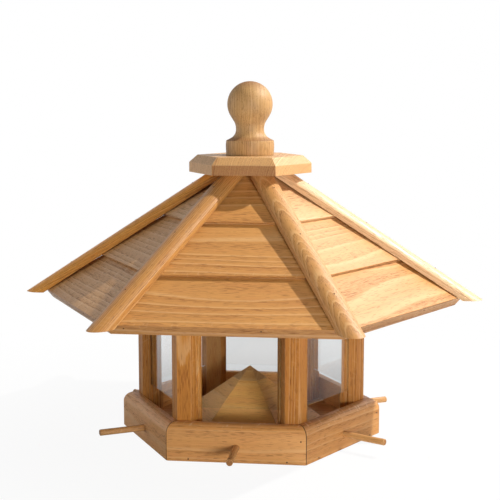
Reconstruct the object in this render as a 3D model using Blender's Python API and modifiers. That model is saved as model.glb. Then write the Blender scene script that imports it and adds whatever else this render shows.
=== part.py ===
"""Hexagonal oak bird feeder.

A seed tray with six perches carries six corner posts. Clear panes slide into the posts and form a silo over
a spreading pyramid, a roof of lapped boards rests on a ring round the post heads, and a lid with a turned
ball closes the filling hole.
Lengths are in metres, +Z is up, and the origin is the middle of the tray's underside.
"""

import math

import bmesh
import bpy
from mathutils import Matrix, Vector

# %% Driving dimensions

MM = 0.001

# Gap kept between pieces that are glued, nailed or laid on each other
SEAT_GAP = 0.3 * MM

# Hexagon shared by every tier
SIDES = 6

# Tray
RIM_CORNER_RADIUS = 170.0 * MM
RIM_HEIGHT = 46.0 * MM
RIM_THICKNESS = 18.0 * MM
RIM_ROUNDOVER = 12.0 * MM
RIM_FOOT_ROUNDING = 1.5 * MM
FLOOR_THICKNESS = 15.0 * MM

# Perches
PERCH_DIAMETER = 8.0 * MM
PERCH_REACH = 58.0 * MM
PERCH_SOCKET_DEPTH = 13.0 * MM
PERCH_HEIGHT = 19.0 * MM
PERCH_END_ROUNDING = 0.8 * MM

# Corner posts, and the grooves for the panes
POST_WIDTH = 30.0 * MM
POST_DEPTH = 30.0 * MM
GROOVE_DEPTH = 6.0 * MM
KERF_DEPTH = 2.0 * MM
PANE_SIDE_PLAY = 0.5 * MM
PANE_FACE_PLAY = 0.3 * MM

# Panes
PANE_THICKNESS = 3.0 * MM
PANE_SETBACK = 11.5 * MM
PANE_LIFT = 14.0 * MM
PANE_EDGE_ARRIS = 0.3 * MM
PANE_HEAD_ROOM = 3.5 * MM

# Ring that joins the post heads and carries the roof
RING_HEIGHT = 16.0 * MM
RING_PANE_CLEARANCE = 0.8 * MM

# Feed-spreading pyramid
PYRAMID_POST_GAP = 17.0 * MM
PYRAMID_PITCH = math.radians(39.0)
PYRAMID_BOARD = 8.0 * MM
APEX_PIECE_FLAT = 19.5 * MM

# Roof boards
ROOF_PITCH = math.radians(37.0)
EAVE_FLAT = 228.0 * MM
EAVE_HEIGHT = 172.0 * MM
BOARD_BUTT = 15.0 * MM
BOARD_STEP = 4.5 * MM
BOARD_LAP = 12.0 * MM
LOWER_EXPOSURE = 80.5 * MM
MIDDLE_EXPOSURE = 90.0 * MM
BOARD_CAP_GAP = 2.2 * MM

# Hip battens
BATTEN_WIDTH = 28.0 * MM
BATTEN_WALL = 7.0 * MM
BATTEN_RISE = 7.5 * MM
BATTEN_OVERHANG = 35.7 * MM
BATTEN_HEAD_RADIUS = 34.0 * MM
BATTEN_SEAT_LENGTH = 19.6 * MM
KEEL_WIDTH = 4.0 * MM
KEEL_LEAST_DEPTH = 1.0 * MM
KEEL_ROOT = 1.0 * MM

# Lid
CAP_CORNER_RADIUS = 79.3 * MM
CAP_EDGE_HEIGHT = 12.5 * MM
CAP_CHAMFER_RISE = 9.5 * MM
CAP_CHAMFER_RUN = 10.9 * MM
LOCATOR_THICKNESS = 9.0 * MM
LOCATOR_PLAY = 1.5 * MM
LOCATOR_CHAMFER = 2.0 * MM

# Finial
FINIAL_BASE_DIAMETER = 61.0 * MM
FINIAL_BASE_HEIGHT = 18.5 * MM
FINIAL_SHOULDER_ROUNDING = 0.6 * MM
BALL_DIAMETER = 58.0 * MM
BALL_CENTRE_RISE = 64.4 * MM
BALL_TAPER_ANGLE = math.radians(32.0)
NECK_DIAMETER = 36.0 * MM
NECK_RISE = 33.0 * MM
NECK_LENGTH = 1.0 * MM
COVE_RADIUS = 12.0 * MM
COVE_SWEEP = math.radians(60.0)
TENON_DIAMETER = 20.0 * MM
TENON_LENGTH = 14.0 * MM

# Facets, and the angle above which an edge stays crisp
EDGE_STEPS = 2
ARC_STEPS = 8
CREST_STEPS = 10
ROUND_SEGMENTS = 20
FINIAL_SEGMENTS = 40
SMOOTH_ANGLE = math.radians(35.0)

# Length that a board is made before its ends are cut, how far a groove's cutter runs past the wood,
# and the distances within which points are one, in a mesh and on a turned piece's axis
STOCK_LENGTH = 700.0 * MM
CUT_MARGIN = 5.0 * MM
WELD_DISTANCE = 0.001 * MM
AXIS_WELD_DISTANCE = 0.01 * MM

# %% Sizes worked out from the driving dimensions

TURN = 2.0 * math.pi / SIDES
HALF_TURN = TURN / 2.0
FLAT_PER_CORNER = math.cos(HALF_TURN)

RIM_FACE = RIM_CORNER_RADIUS * FLAT_PER_CORNER
RIM_BACK = RIM_FACE - RIM_THICKNESS
INSIDE_FLAT = RIM_BACK - SEAT_GAP

PANE_FLAT = RIM_BACK - PANE_SETBACK
PANE_FOOT = RIM_HEIGHT + PANE_LIFT
GROOVE_FACE = PANE_FLAT * math.tan(HALF_TURN) - POST_WIDTH / 2.0 / FLAT_PER_CORNER
PANE_HALF_WIDTH = GROOVE_FACE + GROOVE_DEPTH - PANE_SIDE_PLAY

POST_RIDGE = INSIDE_FLAT / FLAT_PER_CORNER
POST_SHOULDER = POST_RIDGE - POST_WIDTH / 2.0 * math.tan(HALF_TURN)
POST_BACK = POST_RIDGE - POST_DEPTH
POST_FOOT = FLOOR_THICKNESS + SEAT_GAP


def roof_underside(flat):
    """Height of the roof boards' underside at a distance from the axis, square to a side."""
    return EAVE_HEIGHT + (EAVE_FLAT - flat) * math.tan(ROOF_PITCH)


def ring_top(flat):
    """Height of the ring's sloping top, a seat gap under the roof."""
    return roof_underside(flat) - SEAT_GAP / math.cos(ROOF_PITCH)


RING_OUTSIDE = INSIDE_FLAT
RING_INSIDE = PANE_FLAT + PANE_THICKNESS / 2.0 + RING_PANE_CLEARANCE
RING_FOOT = ring_top(RING_OUTSIDE) - RING_HEIGHT
POST_HEAD = RING_FOOT - SEAT_GAP
PANE_HEAD = ring_top(RING_INSIDE) - PANE_HEAD_ROOM

PYRAMID_FOOT = FLOOR_THICKNESS + SEAT_GAP
PYRAMID_FLAT = (POST_BACK - PYRAMID_POST_GAP) * FLAT_PER_CORNER
PYRAMID_APEX = PYRAMID_FOOT + PYRAMID_FLAT * math.tan(PYRAMID_PITCH)
APEX_JOINT = PYRAMID_APEX - APEX_PIECE_FLAT * math.tan(PYRAMID_PITCH)

MIDDLE_BUTT = LOWER_EXPOSURE
UPPER_BUTT = LOWER_EXPOSURE + MIDDLE_EXPOSURE
SLOPE_TO_AXIS = EAVE_FLAT / math.cos(ROOF_PITCH)

# Pitch of the hip lines, and the lift of the battens' underside above the boards' underside there
HIP_PITCH = math.atan(math.tan(ROOF_PITCH) * FLAT_PER_CORNER)
BATTEN_BED = (BOARD_BUTT + SEAT_GAP) * math.cos(HIP_PITCH) / math.cos(ROOF_PITCH)
BATTEN_BED_FALL = (math.sin(ROOF_PITCH) * math.sin(HALF_TURN)
                   / (math.sin(ROOF_PITCH) * math.cos(HALF_TURN) * math.sin(HIP_PITCH)
                      + math.cos(ROOF_PITCH) * math.cos(HIP_PITCH)))
BATTEN_FOOT = BATTEN_BED - BATTEN_BED_FALL * BATTEN_WIDTH / 2.0
BATTEN_CREST = BATTEN_FOOT + BATTEN_WALL + BATTEN_RISE


def batten_crest_height(radius):
    """Height of a batten's crest at a distance from the axis."""
    return roof_underside(radius * FLAT_PER_CORNER) + BATTEN_CREST / math.cos(HIP_PITCH)


BATTEN_TIP_HEIGHT = batten_crest_height(EAVE_FLAT / FLAT_PER_CORNER + BATTEN_OVERHANG)
BATTEN_SEAT_HEIGHT = batten_crest_height(BATTEN_HEAD_RADIUS + BATTEN_SEAT_LENGTH)

CAP_FOOT = BATTEN_SEAT_HEIGHT + SEAT_GAP
FILL_HOLE_TOP = CAP_FOOT - BOARD_CAP_GAP
FILL_HOLE_RISE = FILL_HOLE_TOP - (BOARD_BUTT - BOARD_STEP) / math.cos(ROOF_PITCH) - EAVE_HEIGHT
FILL_HOLE_FLAT = EAVE_FLAT - FILL_HOLE_RISE / math.tan(ROOF_PITCH)
UPPER_EXPOSURE = SLOPE_TO_AXIS - UPPER_BUTT - FILL_HOLE_FLAT / math.cos(ROOF_PITCH)
CAP_EDGE_TOP = CAP_FOOT + CAP_EDGE_HEIGHT
CAP_TOP = CAP_EDGE_TOP + CAP_CHAMFER_RISE
LOCATOR_TOP = CAP_FOOT - SEAT_GAP
LOCATOR_FOOT = LOCATOR_TOP - LOCATOR_THICKNESS
LOCATOR_CORNER_RADIUS = FILL_HOLE_FLAT / FLAT_PER_CORNER - LOCATOR_PLAY
FINIAL_FOOT = CAP_TOP + SEAT_GAP

# Sides run anticlockwise from the front, corners anticlockwise from the right
SIDE_NAMES = ["front", "right_front", "right_back", "back", "left_back", "left_front"]
CORNER_NAMES = ["right", "back_right", "back_left", "left", "front_left", "front_right"]

# %% Scene, collections and materials

for leftover in list(bpy.data.objects):
    bpy.data.objects.remove(leftover)

parts = bpy.data.collections.new("bird_feeder")
bpy.context.scene.collection.children.link(parts)
cutters = bpy.data.collections.new("cutters")
bpy.context.scene.collection.children.link(cutters)


def finish(name, colour, roughness, alpha=1.0):
    """Principled material with one colour."""
    material = bpy.data.materials.new(name)
    material.use_nodes = True
    shader = material.node_tree.nodes["Principled BSDF"]
    shader.inputs["Base Color"].default_value = (*colour, 1.0)
    shader.inputs["Roughness"].default_value = roughness
    shader.inputs["Metallic"].default_value = 0.0
    shader.inputs["Alpha"].default_value = alpha
    return material


floor_oak = finish("floor_oak", (0.44, 0.23, 0.085), 0.6)
rim_oak = finish("rim_oak", (0.56, 0.31, 0.11), 0.5)
perch_wood = finish("perch_wood", (0.58, 0.33, 0.13), 0.5)
post_oak = finish("post_oak", (0.42, 0.19, 0.055), 0.5)
clear_acrylic = finish("clear_acrylic", (0.93, 0.95, 0.95), 0.05, 0.25)
ring_oak = finish("ring_oak", (0.42, 0.22, 0.08), 0.6)
pyramid_wood = finish("pyramid_wood", (0.38, 0.19, 0.06), 0.55)
apex_wood = finish("apex_wood", (0.33, 0.17, 0.06), 0.6)
lower_board_oak = finish("lower_board_oak", (0.62, 0.34, 0.13), 0.5)
middle_board_oak = finish("middle_board_oak", (0.60, 0.33, 0.12), 0.5)
upper_board_oak = finish("upper_board_oak", (0.58, 0.31, 0.11), 0.5)
batten_oak = finish("batten_oak", (0.54, 0.28, 0.10), 0.5)
cap_oak = finish("cap_oak", (0.58, 0.33, 0.14), 0.5)
locator_oak = finish("locator_oak", (0.44, 0.24, 0.09), 0.6)
finial_oak = finish("finial_oak", (0.56, 0.31, 0.12), 0.45)

# %% Tools for making the shapes


def settled(mesh, material, is_round=False):
    """Weld a mesh, turn its faces outwards, give it a material and shade its round faces smooth."""
    shape = bmesh.new()
    shape.from_mesh(mesh)
    bmesh.ops.remove_doubles(shape, verts=shape.verts, dist=WELD_DISTANCE)
    bmesh.ops.recalc_face_normals(shape, faces=shape.faces)
    shape.to_mesh(mesh)
    shape.free()
    mesh.materials.clear()
    mesh.materials.append(material)
    if is_round:
        mesh.shade_smooth()
        mesh.set_sharp_from_angle(angle=SMOOTH_ANGLE)
    return mesh


def evaluated_mesh(piece):
    """Mesh of an object with its modifiers applied; the object is removed."""
    bpy.context.view_layer.update()
    graph = bpy.context.evaluated_depsgraph_get()
    mesh = bpy.data.meshes.new_from_object(piece.evaluated_get(graph))
    bpy.data.objects.remove(piece)
    return mesh


def arc(centre, radius, start, end, steps):
    """Points along an arc, from one angle to another, both ends included."""
    points = []
    for step in range(steps + 1):
        angle = start + (end - start) * step / steps
        points.append((centre[0] + radius * math.cos(angle), centre[1] + radius * math.sin(angle)))
    return points


def prism(name, outline, length):
    """Flat outline extruded along Z, half of the length to each side."""
    curve = bpy.data.curves.new(name, "CURVE")
    curve.dimensions = "2D"
    curve.fill_mode = "BOTH"
    curve.extrude = length / 2.0
    spline = curve.splines.new("POLY")
    spline.points.add(len(outline) - 1)
    for point, (x, y) in zip(spline.points, outline):
        point.co = (x, y, 0.0, 1.0)
    spline.use_cyclic_u = True
    guide = bpy.data.objects.new(name, curve)
    parts.objects.link(guide)
    mesh = evaluated_mesh(guide)
    bpy.data.curves.remove(curve)
    shape = bmesh.new()
    shape.from_mesh(mesh)
    bmesh.ops.remove_doubles(shape, verts=shape.verts, dist=WELD_DISTANCE)
    bmesh.ops.dissolve_limit(shape, angle_limit=math.radians(0.5), verts=shape.verts, edges=shape.edges)
    bmesh.ops.recalc_face_normals(shape, faces=shape.faces)
    shape.to_mesh(mesh)
    shape.free()
    return mesh


def trim(mesh, point, normal):
    """Cut away what lies beyond a plane, on its normal's side, and close the cut."""
    shape = bmesh.new()
    shape.from_mesh(mesh)
    everything = shape.verts[:] + shape.edges[:] + shape.faces[:]
    cut = bmesh.ops.bisect_plane(shape, geom=everything, dist=0.1 * WELD_DISTANCE,
                                 plane_co=point, plane_no=normal, clear_outer=True)
    edges = [item for item in cut["geom_cut"] if isinstance(item, bmesh.types.BMEdge)]
    bmesh.ops.edgeloop_fill(shape, edges=edges)
    bmesh.ops.recalc_face_normals(shape, faces=shape.faces)
    shape.to_mesh(mesh)
    shape.free()


def mitre(mesh):
    """Trim a piece of the front side at the two planes it shares with its neighbours."""
    for sign in (1.0, -1.0):
        normal = Vector((sign * math.cos(HALF_TURN), math.sin(HALF_TURN), 0.0))
        trim(mesh, normal * (-SEAT_GAP / 2.0), normal)


def turned(name, profile, steps, closed=False):
    """Profile of (radius, height) points, outer side top to bottom, turned round the Z axis."""
    mesh = bpy.data.meshes.new(name)
    points = [(radius, 0.0, height) for radius, height in profile]
    edges = [(index, index + 1) for index in range(len(points) - 1)]
    if closed:
        edges.append((len(points) - 1, 0))
    mesh.from_pydata(points, edges, [])
    guide = bpy.data.objects.new(name, mesh)
    parts.objects.link(guide)
    screw = guide.modifiers.new("turn", "SCREW")
    screw.axis = "Z"
    screw.angle = 2.0 * math.pi
    screw.steps = steps
    screw.render_steps = steps
    screw.use_merge_vertices = True
    screw.merge_threshold = AXIS_WELD_DISTANCE
    return evaluated_mesh(guide)


def cutter(name, mesh):
    """Hidden shape that is taken out of a piece or joined to it."""
    tool = bpy.data.objects.new(name, mesh)
    tool.hide_render = True
    tool.display_type = "WIRE"
    cutters.objects.link(tool)
    return tool


def cut_by(name, mesh, tools, operation="DIFFERENCE"):
    """Mesh with each of the cutters subtracted, or joined with UNION."""
    guide = bpy.data.objects.new(name, mesh)
    parts.objects.link(guide)
    for tool in tools:
        boolean = guide.modifiers.new(tool.name, "BOOLEAN")
        boolean.operation = operation
        boolean.object = tool
    return evaluated_mesh(guide)


def box_mesh(name, size, transform):
    """Box of a full size, moved into place."""
    shape = bmesh.new()
    bmesh.ops.create_cube(shape, size=1.0)
    bmesh.ops.scale(shape, vec=size, verts=shape.verts)
    mesh = bpy.data.meshes.new(name)
    shape.to_mesh(mesh)
    shape.free()
    mesh.transform(transform)
    return mesh


def rod_mesh(name, radius, length):
    """Round bar along Z, centred on the origin."""
    shape = bmesh.new()
    bmesh.ops.create_cone(shape, cap_ends=True, segments=ROUND_SEGMENTS,
                          radius1=radius, radius2=radius, depth=length)
    mesh = bpy.data.meshes.new(name)
    shape.to_mesh(mesh)
    shape.free()
    return mesh


def place(name, mesh, parent=None, turn=0.0):
    """Object for a finished mesh, turned about the feeder's axis."""
    piece = bpy.data.objects.new(name, mesh)
    piece.rotation_euler.z = turn
    piece.parent = parent
    parts.objects.link(piece)
    return piece


def place_round(stem, names, mesh, parent=None):
    """Six copies of a piece that share one mesh, a sixth of a turn apart."""
    for index, name in enumerate(names):
        place(f"{stem}_{name}", mesh, parent, index * TURN)


# Empties on the axis along which the roof and the lid lift off
roof_axis = bpy.data.objects.new("roof_lift_axis", None)
parts.objects.link(roof_axis)
lid_axis = bpy.data.objects.new("lid_lift_axis", None)
lid_axis.parent = roof_axis
parts.objects.link(lid_axis)

# %% Tray: floor board, rim boards and perches


def make_floor():
    """Hexagonal board that the rim boards are nailed round."""
    corner = INSIDE_FLAT / FLAT_PER_CORNER
    profile = [(0.0, FLOOR_THICKNESS), (corner, FLOOR_THICKNESS), (corner, 0.0), (0.0, 0.0)]
    place("floor_board", settled(turned("floor_board", profile, SIDES), floor_oak))


def make_rim():
    """Upright boards with a rounded top edge, mitred at the corners, each drilled for its perch."""
    foot = RIM_FOOT_ROUNDING
    top = RIM_ROUNDOVER
    outline = [(RIM_BACK, 0.0)]
    outline += arc((RIM_FACE - foot, foot), foot, -math.pi / 2.0, 0.0, EDGE_STEPS)
    outline += arc((RIM_FACE - top, RIM_HEIGHT - top), top, 0.0, math.pi / 2.0, ARC_STEPS)
    outline += [(RIM_BACK, RIM_HEIGHT)]
    board = prism("rim_board", outline, STOCK_LENGTH)
    board.transform(Matrix(((0, 0, -1, 0), (-1, 0, 0, 0), (0, 1, 0, 0), (0, 0, 0, 1))))
    mitre(board)
    socket_radius = PERCH_DIAMETER / 2.0 + SEAT_GAP
    socket_length = 2.0 * (PERCH_SOCKET_DEPTH + SEAT_GAP)
    socket = rod_mesh("perch_socket", socket_radius, socket_length)
    socket.transform(Matrix.Rotation(math.pi / 2.0, 4, "X"))
    socket.transform(Matrix.Translation((0.0, -RIM_FACE, PERCH_HEIGHT)))
    board = cut_by("rim_board", board, [cutter("perch_socket_cutter", socket)])
    place_round("rim_board", SIDE_NAMES, settled(board, rim_oak, is_round=True))


def make_perches():
    """Round dowels with eased ends that stick straight out of the rim, one on each side."""
    radius = PERCH_DIAMETER / 2.0
    ease = PERCH_END_ROUNDING
    tip = RIM_FACE + PERCH_REACH
    root = RIM_FACE - PERCH_SOCKET_DEPTH
    profile = [(0.0, tip)]
    profile += arc((radius - ease, tip - ease), ease, math.pi / 2.0, 0.0, EDGE_STEPS)
    profile += arc((radius - ease, root + ease), ease, 0.0, -math.pi / 2.0, EDGE_STEPS)
    profile += [(0.0, root)]
    dowel = turned("perch", profile, ROUND_SEGMENTS)
    dowel.transform(Matrix.Translation((0.0, 0.0, PERCH_HEIGHT)) @ Matrix.Rotation(math.pi / 2.0, 4, "X"))
    place_round("perch", SIDE_NAMES, settled(dowel, perch_wood, is_round=True))


make_floor()
make_rim()
make_perches()

# %% Silo: corner posts, panes and the ring on the post heads


def groove_cutter(name, side):
    """Stepped slot for a pane in the post at the right, on the side of +Y or -Y."""
    start = GROOVE_FACE - CUT_MARGIN
    shallow = GROOVE_FACE + KERF_DEPTH
    deep = GROOVE_FACE + GROOVE_DEPTH
    low = POST_FOOT - CUT_MARGIN
    ledge = PANE_FOOT - SEAT_GAP
    high = POST_HEAD + CUT_MARGIN
    outline = [(start, low), (shallow, low), (shallow, ledge), (deep, ledge), (deep, high), (start, high)]
    slot = prism(name, outline, PANE_THICKNESS + 2.0 * PANE_FACE_PLAY)
    slot.transform(Matrix(((0, 0, side, PANE_FLAT), (side, 0, 0, 0), (0, 1, 0, 0), (0, 0, 0, 1))))
    slot.transform(Matrix.Rotation(-side * HALF_TURN, 4, "Z"))
    return cutter(name, slot)


def make_posts():
    """Bars with a ridge that fills the tray's corner, grooved on both flanks for the panes."""
    half = POST_WIDTH / 2.0
    outline = [(POST_BACK, -half), (POST_SHOULDER, -half), (POST_RIDGE, 0.0),
               (POST_SHOULDER, half), (POST_BACK, half)]
    post = prism("post", outline, POST_HEAD - POST_FOOT)
    post.transform(Matrix.Translation((0.0, 0.0, (POST_HEAD + POST_FOOT) / 2.0)))
    tools = [groove_cutter("groove_cutter_near", -1.0), groove_cutter("groove_cutter_far", 1.0)]
    post = cut_by("post", post, tools)
    place_round("post", CORNER_NAMES, settled(post, post_oak))


def make_panes():
    """Clear sheets in the grooves, standing on the ledges where the grooves get shallow."""
    size = (2.0 * PANE_HALF_WIDTH, PANE_THICKNESS, PANE_HEAD - PANE_FOOT)
    seat = Matrix.Translation((0.0, -PANE_FLAT, (PANE_HEAD + PANE_FOOT) / 2.0))
    pane = box_mesh("pane", size, seat)
    shape = bmesh.new()
    shape.from_mesh(pane)
    bmesh.ops.bevel(shape, geom=shape.edges[:], offset=PANE_EDGE_ARRIS, segments=1, affect="EDGES")
    shape.to_mesh(pane)
    shape.free()
    place_round("pane", SIDE_NAMES, settled(pane, clear_acrylic))


def make_ring():
    """Hexagonal ring outside the panes, its top sloped to the roof's underside."""
    outside = RING_OUTSIDE / FLAT_PER_CORNER
    inside = RING_INSIDE / FLAT_PER_CORNER
    profile = [(inside, ring_top(RING_INSIDE)), (outside, ring_top(RING_OUTSIDE)),
               (outside, RING_FOOT), (inside, RING_FOOT)]
    place("head_ring", settled(turned("head_ring", profile, SIDES, closed=True), ring_oak))


make_posts()
make_panes()
make_ring()

# %% Feed-spreading pyramid on the tray's floor


def make_pyramid():
    """Six mitred boards that lean together, closed by a small solid point."""
    slope = math.tan(PYRAMID_PITCH)
    sunk = PYRAMID_BOARD / math.cos(PYRAMID_PITCH)
    head = APEX_JOINT - SEAT_GAP
    outline = []
    for height, apex in ((PYRAMID_FOOT, PYRAMID_APEX), (head, PYRAMID_APEX),
                         (head, PYRAMID_APEX - sunk), (PYRAMID_FOOT, PYRAMID_APEX - sunk)):
        outline.append(((apex - height) / slope, height))
    board = prism("pyramid_board", outline, STOCK_LENGTH)
    board.transform(Matrix(((0, 0, -1, 0), (-1, 0, 0, 0), (0, 1, 0, 0), (0, 0, 0, 1))))
    mitre(board)
    place_round("pyramid_board", SIDE_NAMES, settled(board, pyramid_wood))
    corner = APEX_PIECE_FLAT / FLAT_PER_CORNER
    profile = [(0.0, PYRAMID_APEX), (corner, APEX_JOINT), (0.0, APEX_JOINT)]
    place("pyramid_point", settled(turned("pyramid_point", profile, SIDES), apex_wood))


make_pyramid()

# %% Roof: three lapped boards on each side and a batten on each hip


def board_top(butt, exposure, along):
    """Thickness of a board that thins from its butt up the slope."""
    return BOARD_BUTT - BOARD_STEP * (along - butt) / exposure


def board_outline(butt, exposure, below=None, last=False):
    """Section of a roof board: distance up the slope, height off the underside."""
    end = SLOPE_TO_AXIS if last else butt + exposure + BOARD_LAP
    outline = [(end, 0.0), (end, board_top(butt, exposure, end)), (butt, BOARD_BUTT)]
    if below is None:
        outline.append((butt, 0.0))
    else:
        rebate = butt + BOARD_LAP + SEAT_GAP
        outline.append((butt, board_top(*below, butt) + SEAT_GAP))
        outline.append((rebate, board_top(*below, rebate) + SEAT_GAP))
        outline.append((rebate, 0.0))
    return outline


def make_roof_board(stem, outline, material):
    """Board laid on the front slope, mitred at the hips, and its five copies."""
    board = prism(stem, outline, STOCK_LENGTH)
    slope = Vector((0.0, math.cos(ROOF_PITCH), math.sin(ROOF_PITCH)))
    outward = Vector((0.0, -math.sin(ROOF_PITCH), math.cos(ROOF_PITCH)))
    along = slope.cross(outward)
    eave = Vector((0.0, -EAVE_FLAT, EAVE_HEIGHT))
    lay = Matrix((slope, outward, along)).transposed().to_4x4()
    board.transform(Matrix.Translation(eave) @ lay)
    mitre(board)
    trim(board, Vector((0.0, -FILL_HOLE_FLAT, 0.0)), Vector((0.0, 1.0, 0.0)))
    place_round(stem, SIDE_NAMES, settled(board, material), roof_axis)


def make_roof_boards():
    """Lower, middle and upper boards, each lapped over the one below."""
    lower = (0.0, LOWER_EXPOSURE)
    middle = (MIDDLE_BUTT, MIDDLE_EXPOSURE)
    upper = (UPPER_BUTT, UPPER_EXPOSURE)
    make_roof_board("lower_roof_board", board_outline(*lower), lower_board_oak)
    make_roof_board("middle_roof_board", board_outline(*middle, below=lower), middle_board_oak)
    make_roof_board("upper_roof_board", board_outline(*upper, below=middle, last=True), upper_board_oak)


def ridge_point(along, thickness):
    """Place over a hip of a point up the slope in a board: distance up the hip, height off its foot line."""
    run = (along * math.cos(ROOF_PITCH) - thickness * math.sin(ROOF_PITCH)) / FLAT_PER_CORNER
    rise = along * math.sin(ROOF_PITCH) + thickness * math.cos(ROOF_PITCH)
    return (run * math.cos(HIP_PITCH) + rise * math.sin(HIP_PITCH),
            rise * math.cos(HIP_PITCH) - run * math.sin(HIP_PITCH))


def keel_mesh():
    """Thin wedges under a batten that fill the gap between it and the boards below each butt."""
    root = (BATTEN_BED + KEEL_ROOT) * math.cos(ROOF_PITCH) / math.cos(HIP_PITCH)
    spans = ((0.0, LOWER_EXPOSURE), (MIDDLE_BUTT, MIDDLE_EXPOSURE), (UPPER_BUTT, UPPER_EXPOSURE))
    shape = bmesh.new()
    for butt, exposure in spans:
        start = butt + exposure * KEEL_LEAST_DEPTH / BOARD_STEP
        end = butt + exposure - SEAT_GAP
        outline = [ridge_point(start, board_top(butt, exposure, start) + SEAT_GAP),
                   ridge_point(end, board_top(butt, exposure, end) + SEAT_GAP),
                   ridge_point(end, root), ridge_point(start, root)]
        wedge = prism("keel_wedge", outline, KEEL_WIDTH)
        shape.from_mesh(wedge)
        bpy.data.meshes.remove(wedge)
    keel = bpy.data.meshes.new("keel")
    shape.to_mesh(keel)
    shape.free()
    return keel


def make_battens():
    """Round-topped battens on the hips, their lower ends cut level and their heads seating the lid."""
    half = BATTEN_WIDTH / 2.0
    wall_top = BATTEN_FOOT + BATTEN_WALL
    crest_radius = (half * half + BATTEN_RISE * BATTEN_RISE) / (2.0 * BATTEN_RISE)
    crest_centre = (0.0, wall_top + BATTEN_RISE - crest_radius)
    spread = math.asin(half / crest_radius)
    outline = [(0.0, BATTEN_BED), (half, BATTEN_FOOT)]
    outline += arc(crest_centre, crest_radius, math.pi / 2.0 - spread, math.pi / 2.0 + spread, CREST_STEPS)
    outline += [(-half, BATTEN_FOOT)]
    batten = prism("hip_batten", outline, STOCK_LENGTH)
    across = Vector((0.0, 1.0, 0.0))
    outward = Vector((math.sin(HIP_PITCH), 0.0, math.cos(HIP_PITCH)))
    along = across.cross(outward)
    eave_corner = Vector((EAVE_FLAT / FLAT_PER_CORNER, 0.0, EAVE_HEIGHT))
    lay = Matrix((across, outward, along)).transposed().to_4x4()
    batten.transform(Matrix.Translation(eave_corner) @ lay)
    keel = keel_mesh()
    keel.transform(Matrix.Translation(eave_corner) @ Matrix((-along, outward, across)).transposed().to_4x4())
    batten = cut_by("hip_batten", batten, [cutter("keel_strips", keel)], "UNION")
    trim(batten, Vector((0.0, 0.0, BATTEN_TIP_HEIGHT)), Vector((0.0, 0.0, -1.0)))
    trim(batten, Vector((BATTEN_HEAD_RADIUS, 0.0, 0.0)), Vector((-1.0, 0.0, 0.0)))
    trim(batten, Vector((0.0, 0.0, BATTEN_SEAT_HEIGHT)), Vector((0.0, 0.0, 1.0)))
    place_round("hip_batten", CORNER_NAMES, settled(batten, batten_oak, is_round=True), roof_axis)


make_roof_boards()
make_battens()

# %% Lid: cap plate, locating block and turned ball


def make_cap():
    """Hexagonal plate with a chamfered top edge and a socket for the finial's tenon."""
    corner = CAP_CORNER_RADIUS
    profile = [(0.0, CAP_TOP), (corner - CAP_CHAMFER_RUN, CAP_TOP), (corner, CAP_EDGE_TOP),
               (corner, CAP_FOOT), (0.0, CAP_FOOT)]
    plate = turned("cap_plate", profile, SIDES)
    socket = rod_mesh("tenon_socket", TENON_DIAMETER / 2.0 + SEAT_GAP, 2.0 * (TENON_LENGTH + SEAT_GAP))
    socket.transform(Matrix.Translation((0.0, 0.0, CAP_TOP)))
    plate = cut_by("cap_plate", plate, [cutter("tenon_socket_cutter", socket)])
    place("cap_plate", settled(plate, cap_oak), lid_axis)


def make_locator():
    """Block under the cap that drops into the fill hole and keeps the lid in the middle."""
    corner = LOCATOR_CORNER_RADIUS
    profile = [(0.0, LOCATOR_TOP), (corner, LOCATOR_TOP), (corner, LOCATOR_FOOT + LOCATOR_CHAMFER),
               (corner - LOCATOR_CHAMFER, LOCATOR_FOOT), (0.0, LOCATOR_FOOT)]
    place("lid_locator", settled(turned("lid_locator", profile, SIDES), locator_oak), lid_axis)


def finial_profile():
    """Ball, tapering into a neck, a cove, a shoulder, a round base and a tenon."""
    ball = BALL_DIAMETER / 2.0
    ball_centre = (0.0, FINIAL_FOOT + BALL_CENTRE_RISE)
    points = arc(ball_centre, ball, math.pi / 2.0, -BALL_TAPER_ANGLE, 3 * ARC_STEPS)
    points[0] = (0.0, ball_centre[1] + ball)
    leave = points[-1]
    neck = NECK_DIAMETER / 2.0
    neck_height = FINIAL_FOOT + NECK_RISE
    # Upper hollow: the arc that the ball's taper line runs into smoothly above the neck
    fall = math.tan(BALL_TAPER_ANGLE)
    gap = leave[0] - neck - (leave[1] - neck_height) * fall
    hollow = gap / (1.0 - math.cos(BALL_TAPER_ANGLE) - math.sin(BALL_TAPER_ANGLE) * fall)
    points += arc((neck + hollow, neck_height), hollow, math.pi - BALL_TAPER_ANGLE, math.pi, ARC_STEPS)
    cove_centre = (neck + COVE_RADIUS, neck_height - NECK_LENGTH)
    points += arc(cove_centre, COVE_RADIUS, math.pi, math.pi + COVE_SWEEP, ARC_STEPS)
    base = FINIAL_BASE_DIAMETER / 2.0
    base_top = FINIAL_FOOT + FINIAL_BASE_HEIGHT
    rounding = FINIAL_SHOULDER_ROUNDING
    points += arc((base - rounding, base_top - rounding), rounding, math.pi / 2.0, 0.0, EDGE_STEPS)
    points += [(base, FINIAL_FOOT), (TENON_DIAMETER / 2.0, FINIAL_FOOT)]
    points += [(TENON_DIAMETER / 2.0, CAP_TOP - TENON_LENGTH), (0.0, CAP_TOP - TENON_LENGTH)]
    return points


def make_finial():
    """Ball to lift the lid by, turned in one piece."""
    finial = turned("finial", finial_profile(), FINIAL_SEGMENTS)
    place("finial", settled(finial, finial_oak, is_round=True), lid_axis)


make_cap()
make_locator()
make_finial()
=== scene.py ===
# %% [markdown]
# # An oak bird feeder, dressed over its working frame
#
# The feeder is a six-sided seed tray, a glazed silo on six posts, a roof of lapped boards with battens on
# its hips, and a lid with a turned ball. The frame holds every piece at its real size and place.
# This lesson makes the surfaces: planed boards with eased edges, grain that runs the way each board was
# sawn, nail heads, clear panes, and the light of a white studio.

# %% Load the frame
import math
import random

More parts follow.
